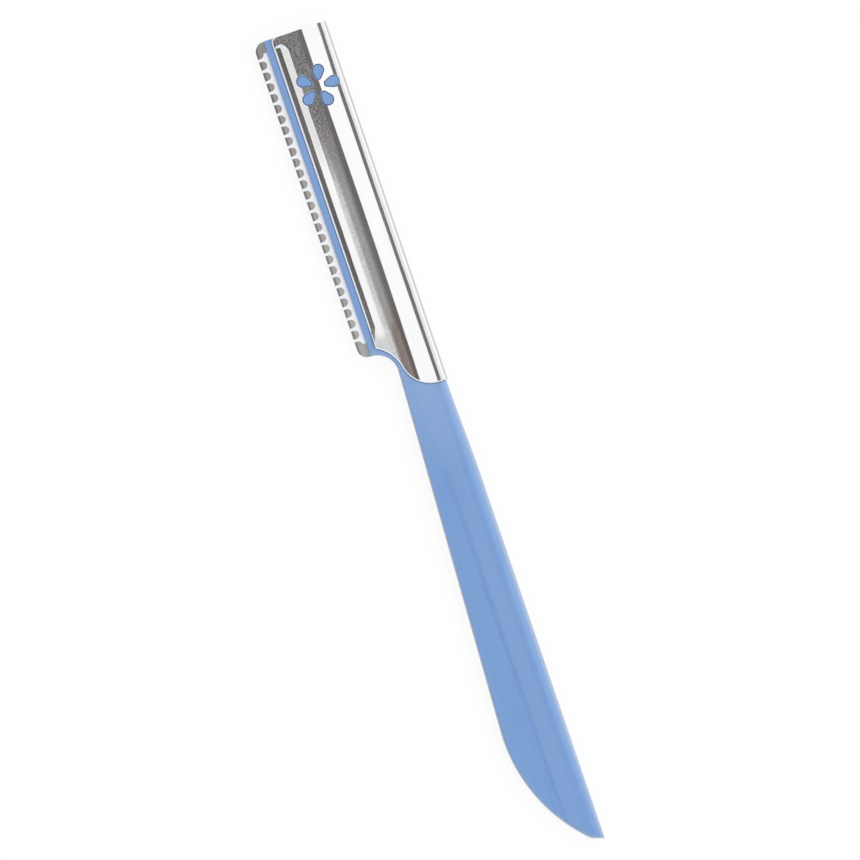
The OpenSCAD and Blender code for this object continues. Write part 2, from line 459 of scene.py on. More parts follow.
@dataclass(frozen=True)
class GlossPlastic(Finish):
    """Pale blue moulded plastic with a soft gloss, faint flow streaks and a fine skin, and with painted
    light: a painted shadow line beside the cover's edge, painted shade along the crease and on the petal
    rims, a painted highlight on the roundings and a painted sheen towards the neck.
    """

    cover: "SpineCover"
    name: ClassVar[str] = "blue_gloss_plastic"
    ior: float = 1.58
    colour: Colour = (0.171, 0.313, 0.600, 1)
    streak: Colour = (0.178, 0.323, 0.612, 1)
    streak_grain: Grain = (38, 2.4, 2.4)
    streak_at: Span = (0.42, 0.66)
    shade: Colour = (0.164, 0.303, 0.588, 1)
    shade_grain: Grain = (16, 7, 7)
    shade_at: Span = (0.5, 0.3)
    # painted sheen: the plastic is made lighter towards the neck
    pale: Colour = (0.222, 0.352, 0.625, 1)
    neck_sheen_from: Span = (50, 60)
    neck_sheen_to: Span = (86, 63)
    # painted shade: a darker line along the grip's crease
    crease: Colour = (0.14, 0.27, 0.56, 1)
    crease_shade_y: float = -5.48
    crease_shade_w: Span = (0.6, 0.1)
    crease_shade_from: Span = (78, 92)
    crease_shade_share: float = 0.7
    # painted highlight: a paler, greyer colour on the tilted roundings of the grip
    rounding: Colour = (0.33, 0.415, 0.56, 1)
    rounding_highlight_from: Span = (60, 66)
    rounding_highlight_level: Span = (0.93, 0.5)
    highlight_upright_level: Span = (0.1, 0.38)
    # painted shade: darker colour on the petals' sloping rims
    petal_rim_shade: Colour = (0.175, 0.25, 0.41, 1)
    petal_rim_shade_level: Span = (0.97, 0.88)
    petals_to: Span = (16, 15.5)
    petals_low: Span = (-9.8, -9.4)
    # painted shadow: a dark line on the moulding beside the cover's cut edge
    seam_shadow: Colour = (0.055, 0.10, 0.215, 1)
    seam_shadow_share: float = 0.7
    seam_shadow_at: float = 0.07
    seam_shadow_w: Span = (0.144, 0.054)
    lobe_from: Span = (61.9, 62.3)
    flange_to: Span = (57.7, 57.2)
    flange_soft: float = 0.1
    gloss: float = 0.26
    dull: float = 0.36
    dull_grain: Grain = (5, 0.9, 0.9)
    dull_at: Span = (0.35, 0.7)
    skin_grain: Grain = (0.5, 0.5, 0.5)
    draw_grain: Grain = (6, 0.25, 0.25)
    draw_share: float = 0.6
    relief: float = 0.16
    relief_depth: float = 0.004

    def moulded(self, skin: Skin) -> Socket:
        """The plastic's own colour with its flow streaks, and a painted sheen towards the neck and painted
        shade along the crease.

        Args:
            skin: The material's nodes.

        Returns:
            The colour.
        """
        streaks = skin.fade(skin.noise(self.streak_grain, detail=3), self.streak_at)
        clouds = skin.fade(skin.noise(self.shade_grain), self.shade_at)
        colour = skin.tint(streaks, self.colour, self.streak)
        colour = skin.tint(clouds, colour, self.shade)
        # painted sheen: lighter colour towards the neck
        neck = skin.times(skin.fade(skin.x, self.neck_sheen_to), skin.fade(skin.x, self.neck_sheen_from))
        colour = skin.tint(neck, colour, self.pale)
        # painted shade along the crease
        crease = skin.line(skin.y, self.crease_shade_y, self.crease_shade_w)
        crease = skin.times(crease, self.crease_shade_share, skin.fade(skin.x, self.crease_shade_from))
        return skin.tint(crease, colour, self.crease)

    def seam(self, skin: Skin) -> Socket:
        """The painted shadow line beside the cover's cut edge: along the flange, round the bay and the
        lobe.

        Args:
            skin: The material's nodes.

        Returns:
            The line's strength, from 0 to 1.
        """
        cover = self.cover
        edge = -cover.width
        lobe = skin.distance(cover.lobe_x, cover.lobe_y)
        lobe = skin.line(lobe, cover.lobe_r + self.seam_shadow_at, self.seam_shadow_w)
        lobe = skin.times(lobe, skin.fade(skin.x, self.lobe_from))
        bay = skin.distance(cover.bay_x, cover.bay_y)
        bay = skin.line(bay, cover.bay_r - self.seam_shadow_at, self.seam_shadow_w)
        bay = skin.times(bay, skin.fade(skin.x, self.lobe_from[::-1]))
        bay = skin.times(bay, skin.fade(skin.y, (edge - self.flange_soft, edge + self.flange_soft)))
        flange = skin.line(skin.y, edge - self.seam_shadow_at, self.seam_shadow_w)
        flange = skin.times(flange, skin.fade(skin.x, self.flange_to))
        return skin.math("MAXIMUM", skin.math("MAXIMUM", lobe, bay), flange)

    def coat(self, skin: Skin) -> dict:
        """Coats the moulding: its colour with a painted highlight on the roundings, painted shade on the
        petal rims and a painted shadow line beside the cover, gloss and relief.

        Args:
            skin: The material's nodes.

        Returns:
            What the shader's inputs are given, by name.
        """
        level = skin.level
        # painted highlight on the tilted roundings
        rounded = skin.times(skin.fade(level, self.rounding_highlight_level), skin.fade(skin.x, self.rounding_highlight_from))
        rounded = skin.times(rounded, skin.fade(level, self.highlight_upright_level))
        # painted shade on the petals' tilted rims
        rims = skin.times(skin.fade(skin.x, self.petals_to), skin.fade(skin.y, self.petals_low))
        rims = skin.times(rims, skin.fade(skin.level, self.petal_rim_shade_level))
        colour = skin.tint(rounded, self.moulded(skin), self.rounding)
        colour = skin.tint(rims, colour, self.petal_rim_shade)
        # painted shadow beside the cover's edge
        colour = skin.tint(skin.times(self.seam(skin), self.seam_shadow_share), colour, self.seam_shadow)
        dull = skin.fade(skin.noise(self.dull_grain, detail=4), self.dull_at)
        fine = skin.noise(self.skin_grain, detail=3)
        drawn = skin.times(skin.noise(self.draw_grain), self.draw_share)
        return {
            "IOR": self.ior,
            "Base Color": colour,
            "Roughness": skin.blend(dull, self.gloss, self.dull),
            "Normal": skin.bump(skin.plus(fine, drawn), self.relief, self.relief_depth),
        }


@dataclass(frozen=True)
class PolishedSheet(Finish):
    """Bright folded stainless sheet with fine lengthwise polishing lines and a satin band on its flat."""

    name: ClassVar[str] = "polished_steel"
    bright: Colour = (0.90, 0.90, 0.90, 1)
    satin: Colour = (0.95, 0.94, 0.935, 1)
    satin_top: float = -5.35
    satin_low: float = -7.8
    satin_soft: float = 0.25
    satin_end: Span = (1.75, 1.5)
    satin_level: Span = (0.8, 0.92)
    satin_rough: float = 0.22
    pitted: Colour = (0.24, 0.235, 0.23, 1)
    pit_grain: Grain = (0.28, 0.28, 0.28)
    pits_at: Span = (0.4, 0.62)
    patch_grain: Grain = (3.2, 1.6, 1.6)
    patches_at: Span = (0.2, 0.5)
    pitted_to: Span = (26, 12)
    pitted_least: float = 0.25
    pitted_rough: Span = (0.16, 0.36)
    straw: Colour = (0.80, 0.69, 0.64, 1)
    straw_from: Span = (49, 57)
    straw_low: Span = (-6.9, -6.3)
    straw_top: Span = (-4.7, -4.95)
    straw_level: Span = (0.96, 0.985)
    straw_pitted: float = 0.6
    # painted dark reflection: a grey line along the spine, standing in for the shadowed floor that the
    # steel reflects
    fold: Colour = (0.60, 0.595, 0.59, 1)
    dark_reflection_y: float = -0.19
    dark_reflection_w: Span = (0.2, 0.08)
    shaded: Colour = (0.62, 0.60, 0.60, 1)
    shaded_y: float = -5.02
    shaded_w: Span = (0.34, 0.08)
    shaded_to: Span = (40, 16)
    # painted reflection: a cool blue tint on the steep slopes by the spine
    cool_reflection: Colour = (0.82, 0.89, 1.0, 1)
    cool_reflection_level: Span = (0.85, 0.78)
    cool_reflection_from: Span = (-1.5, -5.35)
    line_grain: Grain = (14, 0.07, 0.07)
    lines_at: Span = (0.35, 0.7)
    line_share: float = 0.25
    polish_rough: Span = (0.09, 0.15)
    smear_grain: Grain = (9, 1.4, 1.4)
    smear_rough: float = 0.05
    worn_from: Span = (34, 56)
    worn_low: Span = (-8.9, -9.3)
    worn_rough: float = 0.08
    land_y: float = -1.5
    land_w: Span = (0.5, 0.3)
    land_rough: float = 0.045
    relief: float = 0.28
    relief_depth: float = 0.006

    def band(self, skin: Skin) -> Socket:
        """Where the sheet is satin: a band along the flat, and all of the flat at the head end.

        Args:
            skin: The material's nodes.

        Returns:
            The band's strength, from 0 to 1.
        """
        soft = self.satin_soft
        below = skin.fade(skin.y, (self.satin_top + soft, self.satin_top - soft))
        above = skin.fade(skin.y, (self.satin_low - soft, self.satin_low + soft))
        above = skin.math("MAXIMUM", above, skin.fade(skin.x, self.satin_end))
        return skin.times(above, below, skin.fade(skin.level, self.satin_level))

    def neck(self, skin: Skin) -> Socket:
        """Where the flat has its straw colour, towards the neck."""
        return skin.times(skin.fade(skin.x, self.straw_from), skin.fade(skin.y, self.straw_low))

    def wear(self, skin: Skin) -> Socket:
        """How strongly the satin is pitted: most at the head end, and again at the neck."""
        head = skin.blend(skin.fade(skin.x, self.pitted_to), self.pitted_least, 1.0)
        return skin.math("MAXIMUM", head, skin.times(self.neck(skin), self.straw_pitted))

    def tints(self, skin: Skin, band: Socket, pits: Socket) -> Socket:
        """The steel's colour, with a painted dark reflection along the spine, painted shade along the
        crease and a painted cool reflection on its steep slopes.

        Args:
            skin: The material's nodes.
            band: Where the sheet is satin.
            pits: Where the satin is pitted.

        Returns:
            The colour.
        """
        colour = skin.tint(band, self.bright, skin.tint(pits, self.satin, self.pitted))
        straw = skin.times(self.neck(skin), skin.fade(skin.y, self.straw_top))
        straw = skin.times(straw, skin.fade(skin.level, self.straw_level))
        colour = skin.tint(straw, colour, self.straw)
        # painted dark reflection along the spine
        colour = skin.tint(skin.line(skin.y, self.dark_reflection_y, self.dark_reflection_w), colour, self.fold)
        shaded = skin.line(skin.y, self.shaded_y, self.shaded_w)
        shaded = skin.times(shaded, skin.fade(skin.x, self.shaded_to), band)
        colour = skin.tint(shaded, colour, self.shaded)
        # painted cool reflection on the tilted faces
        rim = skin.times(skin.fade(skin.level, self.cool_reflection_level), skin.fade(skin.y, self.cool_reflection_from))
        return skin.tint(rim, colour, self.cool_reflection)

    def polish(self, skin: Skin, lines: Socket) -> Socket:
        """Roughness of the bright steel.

        Args:
            skin: The material's nodes.
            lines: The polishing lines.

        Returns:
            The roughness, with smears, the worn bead towards the neck and a duller line by the spine.
        """
        fine = skin.blend(skin.fade(lines, self.lines_at), *self.polish_rough)
        smear = skin.times(skin.noise(self.smear_grain), self.smear_rough)
        worn = skin.times(skin.fade(skin.x, self.worn_from), skin.fade(skin.y, self.worn_low))
        land = skin.times(skin.line(skin.y, self.land_y, self.land_w), self.land_rough)
        return skin.plus(fine, smear, skin.times(worn, self.worn_rough), land)

    def coat(self, skin: Skin) -> dict:
        """Coats the sheet: polished all over but for the pitted satin band.

        Args:
            skin: The material's nodes.

        Returns:
            What the shader's inputs are given, by name.
        """
        band = self.band(skin)
        wear = self.wear(skin)
        grain = skin.noise(self.pit_grain, detail=3)
        patches = skin.fade(skin.noise(self.patch_grain), self.patches_at)
        pits = skin.times(skin.fade(grain, self.pits_at), patches, wear)
        lines = skin.noise(self.line_grain, detail=3)
        matt = skin.blend(wear, self.satin_rough, skin.blend(grain, *self.pitted_rough))
        height = skin.plus(skin.times(lines, self.line_share), skin.times(band, wear, grain))
        return {
            "Metallic": 1.0,
            "Base Color": self.tints(skin, band, pits),
            "Roughness": skin.blend(band, self.polish(skin, lines), matt),
            "Normal": skin.bump(height, self.relief, self.relief_depth),
        }


@dataclass(frozen=True)
class SatinStrip(Finish):
    """Thin pale strip of steel with a soft satin surface and small dull patches."""

    name: ClassVar[str] = "satin_strip_steel"
    metallic: float = 0.3
    colour: Colour = (0.915, 0.932, 0.965, 1)
    dull: Colour = (0.85, 0.865, 0.89, 1)
    dull_grain: Grain = (1.6, 0.5, 0.5)
    dull_at: Span = (0.5, 0.75)
    rough: Span = (0.38, 0.52)
    line_grain: Grain = (4, 0.06, 0.06)
    relief: float = 0.2
    relief_depth: float = 0.003

    def coat(self, skin: Skin) -> dict:
        """Coats the strip: pale satin steel with lengthwise lines.

        Args:
            skin: The material's nodes.

        Returns:
            What the shader's inputs are given, by name.
        """
        patches = skin.noise(self.dull_grain, detail=3)
        return {
            "Metallic": self.metallic,
            "Base Color": skin.tint(skin.fade(patches, self.dull_at), self.colour, self.dull),
            "Roughness": skin.blend(patches, *self.rough),
            "Normal": skin.bump(skin.noise(self.line_grain), self.relief, self.relief_depth),
        }


@dataclass(frozen=True)
class GroundSteel(Finish):
    """Blade steel: satin sides and a ground bevel with fine lines that run into the cutting edge."""

    name: ClassVar[str] = "ground_blade_steel"
    side: Colour = (0.58, 0.565, 0.56, 1)
    dark_side: Colour = (0.48, 0.465, 0.46, 1)
    side_rough: Span = (0.28, 0.4)
    rolled_grain: Grain = (3, 0.35, 0.35)
    rolled_at: Span = (0.35, 0.7)
    bevel: Colour = (0.15, 0.145, 0.14, 1)
    bevel_y: float = -13.1
    bevel_soft: float = 0.03
    bevel_rough: float = 0.3
    ground_grain: Grain = (0.03, 1.5, 1.5)
    neck_bevel: Colour = (0.30, 0.29, 0.28, 1)
    neck_from: Span = (-12, 60)
    neck_rough: float = 0.2
    relief: float = 0.2
    relief_depth: float = 0.004

    def coat(self, skin: Skin) -> dict:
        """Coats the blade: rolled sides, and a dark bevel that gets lighter towards the neck.

        Args:
            skin: The material's nodes.

        Returns:
            What the shader's inputs are given, by name.
        """
        neck = skin.fade(skin.x, self.neck_from)
        bevel = skin.fade(skin.y, (self.bevel_y + self.bevel_soft, self.bevel_y - self.bevel_soft))
        rolled = skin.noise(self.rolled_grain, detail=3)
        side = skin.tint(skin.fade(rolled, self.rolled_at), self.side, self.dark_side)
        ground = skin.tint(neck, self.bevel, self.neck_bevel)
        lines = skin.blend(bevel, rolled, skin.noise(self.ground_grain))
        rough = skin.blend(bevel, skin.blend(rolled, *self.side_rough), self.bevel_rough)
        return {
            "Metallic": 1.0,
            "Base Color": skin.tint(bevel, side, ground),
            "Roughness": skin.plus(rough, skin.times(neck, self.neck_rough)),
            "Normal": skin.bump(lines, self.relief, self.relief_depth),
        }


@dataclass(frozen=True)
class Ridge:
    """One side's height over the mid-plane: round spine, land, slope and flat.

    Depths are distances from the spine.
    """

    top: float
    side: float
    crease: float
    land: float
    spine_r: float
    inset: float
    soft: float
    crown: float = 0.0
    arc_steps: ClassVar[int] = 10
    bend_steps: ClassVar[int] = 4
    slope_steps: ClassVar[int] = 4

    def height(self, depth: float) -> float:
        """The height at a depth from the spine.

        Args:
            depth: Distance from the spine.

        Returns:
            The height over the mid-plane.
        """
        slope = (self.top - self.side) / (self.crease - self.land)
        rise = soft_ramp(self.crease - depth, self.soft) - soft_ramp(self.land - depth, self.soft)
        height = self.side + slope * rise - self.crown * max(0.0, depth - self.crease) ** 2
        fall = min(self.spine_r, self.inset + self.spine_r - depth)
        if fall <= 0:
            return height
        return min(height, self.top - self.spine_r + math.sqrt(self.spine_r**2 - fall**2))

    def toward(self, other: "Ridge", share: float) -> "Ridge":
        """The ridge at a share of the way to another."""
        pairs = zip(astuple(self), astuple(other), strict=True)
        return Ridge(*(mixed(mine, its, share) for mine, its in pairs))

    def shrunk(self, margin: float) -> "Ridge":
        """The ridge with its surface moved in by a margin."""
        return replace(self, top=self.top - margin, side=self.side - margin,
                       spine_r=self.spine_r - margin, inset=self.inset + margin)

    def folds(self) -> list[float]:
        """Depths at which the surface bends, from the spine to the flat.

        Returns:
            The depths.
        """
        turns = spread(0, QUARTER_TURN, self.arc_steps)
        arc = [self.inset + self.spine_r * (1 - math.cos(turn)) for turn in turns]
        land = spread(self.land - self.soft, self.land + self.soft, self.bend_steps)
        crease = spread(self.crease - self.soft, self.crease + self.soft, self.bend_steps)
        slope = spread(land[-1], crease[0], self.slope_steps)[1:-1]
        return arc + land + slope + crease


@dataclass(frozen=True)
class Flower:
    """Five petals, drawn in plan round a middle."""

    x: float = 10.6
    y: float = -4.99
    petals: int = 5
    first_turn: float = 90
    outer: float = 3.93
    inner: float = 1.12
    wide_r: float = 1.05
    wide_steps: int = 22
    narrow_r: float = 0.6
    narrow_steps: int = 9

    def petal(self, mesh: BMesh, number: int, grow: float) -> list[BMEdge]:
        """Draws one petal.

        Args:
            mesh: The mesh that it is drawn in.
            number: Which petal, from 0.
            grow: How far its outline moves out.

        Returns:
            The petal's outline.
        """
        before = set(mesh.edges)
        near = self.inner + self.narrow_r
        far = self.outer - self.wide_r
        lean = math.degrees(math.asin((self.wide_r - self.narrow_r) / (far - near)))
        turn = math.radians(self.first_turn + 360 / self.petals * number)

        def place(along: float, radius: float, degrees: float) -> tuple[float, float]:
            """A point at a radius and direction from a place on the petal's own axis."""
            side = turn + math.radians(degrees)
            return (self.x + along * math.cos(turn) + radius * math.cos(side),
                    self.y + along * math.sin(turn) + radius * math.sin(side))

        pen = Pen.at(mesh, *place(far, self.wide_r + grow, -90 - lean))
        pen.arc(place(far, 0, 0), 180 + 2 * lean, self.wide_steps)
        pen.line(*place(near, self.narrow_r + grow, 90 + lean))
        pen.arc(place(near, 0, 0), 180 - 2 * lean, self.narrow_steps)
        pen.line(*place(far, self.wide_r + grow, -90 - lean))
        drawn = [edge for edge in mesh.edges if edge not in before]
        bmesh.ops.remove_doubles(mesh, verts=corners(drawn), dist=MERGE)
        return [edge for edge in mesh.edges if edge not in before]


@dataclass(frozen=True)
class SpineCover:
    """The folded sheet round the head's spine, with its beads, its petal windows and its lobe."""

    ridge: Ridge = Ridge(top=1.9, side=1.465, crease=4.5, land=1.77, spine_r=1.31, inset=0, soft=0.1)
    flower: Flower = Flower()
    bow: float = 0.24
    bow_mid: float = 33
    start: float = 0.1
    width: float = 10.27
    corner_r: float = 0.8
    corner_steps: int = 8
    lobe_x: float = 61.05
    lobe_y: float = -1.45
    lobe_r: float = 5.55
    lobe_steps: int = 30
    bay_r: float = 6.6
    bay_turn: float = 79.2
    bay_steps: int = 26
    bead_x: float = 2.05
    bead_slant: float = 1.0
    bead_cap: float = 0.55
    bead_blunt: float = 0.1
    bead_h: float = 0.45
    bead_inner: float = 1.12
    bead_side: float = 0.84
    bead_foot: float = 10.04
    bead_foot_soft: float = 0.01
    bead_end: float = 53.9
    bead_out: float = 0.36
    crest_head: float = 9.12
    crest_neck: float = 9.2
    crest_turn: Span = (18, 50)
    # each bend of the swelling up to the crest: its depth, its softness and the slope that it adds
    apron: tuple = ((5.68, 0.2, 0.088), (7.0, 0.25, 0.047), (8.0, 0.22, 0.03))
    apron_from: Span = (6, 32)
    flare_x: float = 53.8
    flare_end: float = 56.8
    flare_mid: float = 6.7
    flare_soft: float = 0.4
    flare_slope: float = 0.136
    flare_sink: float = 0.04
    sheet: float = 0.35
    rim: float = 0.19
    rim_drop: float = 0.19
    window_rim: float = 0.08
    window_drop: float = 0.08
    head_turn: float = 0.2
    head_turn_x: float = 12
    cap_cut_share: float = 1.2
    cap_steps: int = 18
    slant_cut_share: float = 1.1
    slant_steps: int = 22
    middle_steps: int = 24
    flare_steps: int = 12
    crest_cut_share: float = 1.2
    crest_steps: int = 6
    inner_cut_shares: tuple[float, ...] = (0.02, 0.05, 0.1, 0.16)
    flank_cut_shares: tuple[float, ...] = (0.25, 0.5, 0.75, 0.99, 1)
    apron_steps: int = 30
    sink_steps: int = 5
    crisp: float = 24

    @property
    def bay_x(self) -> float:
        """Where the hollow curve's centre lies along the razor."""
        return self.lobe_x + (self.lobe_r + self.bay_r) * math.cos(math.radians(self.bay_turn))

    @property
    def bay_y(self) -> float:
        """Where the hollow curve's centre lies across the razor."""
        return self.lobe_y - (self.lobe_r + self.bay_r) * math.sin(math.radians(self.bay_turn))

    def sheet_rise(self, x: float, depth: float) -> float:
        """Height of the long swelling up to the bead's crest, and of the flare that it turns into.

        Args:
            x: Place along the razor.
            depth: Distance from the spine.

        Returns:
            The height over the flat sheet.
        """
        swelling = sum(slope * soft_ramp(depth - start, soft) for start, soft, slope in self.apron)
        sunk = self.flare_sink * smooth(depth, self.ridge.crease, self.flare_mid - self.flare_soft)
        flare = self.flare_slope * soft_ramp(depth - self.flare_mid, self.flare_soft) - sunk
        return mixed(swelling, flare, smooth(x, self.flare_x, self.flare_end))

    def relief(self, x: float, depth: float) -> float:
        """Height of the pressed bead over the flat sheet.

        Args:
            x: Place along the razor.
            depth: Distance from the spine.

        Returns:
            The height, with the bead's round start at the head end.
        """
        crest = mixed(self.crest_head, self.crest_neck, smooth(x, *self.crest_turn))
        crest += self.bead_out * max(0.0, x - self.bead_end)
        past = depth - crest
        rise = self.sheet_rise(x, min(depth, crest))
        front = self.bead_x
        if past > 0:
            side = past / max(self.bead_side, self.bead_foot - crest)
            rise = rise * soft_ramp(1 - side, self.bead_foot_soft)
        else:
            side = math.hypot(past / self.bead_inner, self.bead_blunt) - self.bead_blunt
            front += self.bead_slant * side * side
        start = max(0.0, (front - x) / self.bead_cap)
        cap = self.bead_h * soft_ramp(1 - math.hypot(side, start), self.bead_foot_soft)
        return mixed(cap, rise, smooth(x, *self.apron_from))

    def height(self, x: float, y: float) -> float:
        """Height of the cover's outer surface over the mid-plane.

        Args:
            x: Place along the razor.
            y: Place across the razor.

        Returns:
            The height.
        """
        depth = -y
        from_mid = (x - self.bow_mid) / self.bow_mid
        bowed = self.bow * from_mid**2 * smooth(depth, self.ridge.land, self.ridge.crease)
        turned = self.head_turn * smooth(x, self.head_turn_x, 0) * smooth(depth, 0, self.ridge.spine_r)
        return self.ridge.height(depth - bowed + turned) + self.relief(x, depth)

    def edge(self, mesh: BMesh, margin: float) -> list[BMVert]:
        """Draws the cover's cut edge in plan, from the head end round the blade side to the lobe.

        Args:
            mesh: The mesh that it is drawn in.
            margin: How far inside the edge the line runs.

        Returns:
            The line's corners.
        """
        before = set(mesh.verts)
        corner_y = self.corner_r - self.width
        flange_y = self.width - margin
        bay_r = self.bay_r + margin
        bay_from = 180 - math.degrees(math.asin((-self.bay_y - flange_y) / bay_r))
        pen = Pen.at(mesh, self.start, corner_y + self.rim)
        pen.line(self.start + margin, corner_y)
        pen.arc((self.start + self.corner_r, corner_y), 90, self.corner_steps)
        pen.line(self.bay_x + bay_r * math.cos(math.radians(bay_from)), -flange_y)
        pen.arc((self.bay_x, self.bay_y), 180 - self.bay_turn - bay_from, self.bay_steps)
        pen.arc((self.lobe_x, self.lobe_y), self.bay_turn, self.lobe_steps)
        pen.line(self.lobe_x + self.lobe_r - margin, 0)
        return [point for point in mesh.verts if point not in before]

    def folds(self) -> tuple[list[float], list[float]]:
        """Where the sheet is cut to bend, along x and as depths from the spine.

        Returns:
            The places along x and the depths.
        """
        cap = spread(self.bead_x - self.bead_cap * self.cap_cut_share, self.bead_x, self.cap_steps)
        slant_end = self.bead_x + self.bead_slant * self.slant_cut_share
        slant = spread(self.bead_x, slant_end, self.slant_steps)[1:]
        middle = spread(slant_end, self.flare_x, self.middle_steps)[1:-1]
        flare = spread(self.flare_x, self.flare_end, self.flare_steps)
        lines = cap + slant + middle + flare + [self.bead_end]
        crest_end = mixed(self.crest_head, self.crest_neck, self.crest_cut_share)
        crest = spread(self.crest_head, crest_end, self.crest_steps)
        flank = [mixed(self.crest_neck, self.bead_foot, share) for share in self.flank_cut_shares]
        inner = [self.crest_head - self.bead_inner * share for share in self.inner_cut_shares]
        foot = self.apron[0][0] - self.apron[0][1]
        apron = spread(foot, inner[-1], self.apron_steps)[:-1]
        sink = spread(self.ridge.crease, foot, self.sink_steps)[1:-1]
        return lines, self.ridge.folds()[1:] + crest + flank + inner + apron + sink

    def cut_bead_end(self, mesh: BMesh) -> None:
        """Cuts the sheet along the bead's crest and foot where they slant out to the flange.

        Args:
            mesh: The flat drawing of the sheet.
        """
        for depth in (self.crest_neck, self.bead_foot):
            points = [point for point in mesh.verts if point.co.x > self.bead_end - MERGE]
            beyond = set(points)
            edges = [edge for edge in mesh.edges if beyond.issuperset(edge.verts)]
            faces = [face for face in mesh.faces if beyond.issuperset(face.verts)]
            bmesh.ops.bisect_plane(mesh, geom=points + edges + faces, dist=MERGE,
                                   plane_co=(self.bead_end, -depth, 0), plane_no=(self.bead_out, 1, 0))

    def rim_band(self, mesh: BMesh) -> None:
        """Draws the sheet's cut edge with its pressed rim, and closes the inner line along the spine.

        Args:
            mesh: The mesh that it is drawn in.
        """
        outer = self.edge(mesh, 0)
        outer_edges = mesh.edges[:]
        inner = self.edge(mesh, self.rim)
        inner_edges = mesh.edges[len(outer_edges):]
        bmesh.ops.bridge_loops(mesh, edges=outer_edges + inner_edges)
        for point in outer[1:]:
            point.co.z = -self.rim_drop * smooth(-point.co.y, self.ridge.spine_r / 4, self.ridge.spine_r)
        pen = Pen(mesh, inner[-1])
        pen.line(self.start, 0)
        pen.line(inner[0].co.x, inner[0].co.y)

    def window_bands(self, mesh: BMesh) -> None:
        """Draws the petal windows with their pressed rims.

        Args:
            mesh: The mesh that they are drawn in.
        """
        for number in range(self.flower.petals):
            hole = self.flower.petal(mesh, number, 0)
            for point in corners(hole):
                point.co.z = -self.window_drop
            line = self.flower.petal(mesh, number, self.window_rim)
            bmesh.ops.bridge_loops(mesh, edges=hole + line)

    def half(self) -> BMesh:
        """The upper half of the sheet's outer surface, from the spine's middle line.

        Returns:
            The draped surface.
        """
        mesh = bmesh.new()
        self.rim_band(mesh)
        merge(mesh)
        self.window_bands(mesh)
        open_edges = [edge for edge in mesh.edges if len(edge.link_faces) < 2 and self.is_inner(edge)]
        bmesh.ops.triangle_fill(mesh, edges=open_edges, use_beauty=True, use_dissolve=False,
                                normal=(0, 0, 1))
        lines, depths = self.folds()
        cut_across(mesh, [-depth for depth in depths], Vector((0, 1, 0)))
        cut_across(mesh, lines, Vector((1, 0, 0)))
        merge(mesh)
        self.cut_bead_end(mesh)
        merge(mesh)
        drape(mesh.verts[:], self.height)
        rims = [edge for edge in mesh.edges if edge.is_boundary]
        spine = [edge for edge in rims if all(abs(point.co.y) < MERGE for point in edge.verts)]
        made = bmesh.ops.extrude_edge_only(mesh, edges=spine)["geom"]
        for point in (item for item in made if isinstance(item, BMVert)):
            point.co.z = 0
        return mesh

    def is_inner(self, edge: BMEdge) -> bool:
        """Whether an edge of the flat drawing bounds the sheet's middle, and not its cut edge."""
        return all(point.co.z > -MERGE for point in edge.verts)

    def build(self, datum: Datum, material: bpy.types.Material) -> bpy.types.Object:
        """Builds the cover.

        Args:
            datum: Where the razor lies.
            material: Its finish.

        Returns:
            The cover.
        """
        mesh = self.half()
        every = mesh.verts[:] + mesh.edges[:] + mesh.faces[:]
        bmesh.ops.mirror(mesh, geom=every, matrix=Matrix(), merge_dist=MERGE, axis="Z")
        merge(mesh)
        face_out(mesh)
        thicken(mesh, self.sheet)
        return put_in_frame(mesh, datum, "folded_cover", material, "spine_cover", self.crisp)


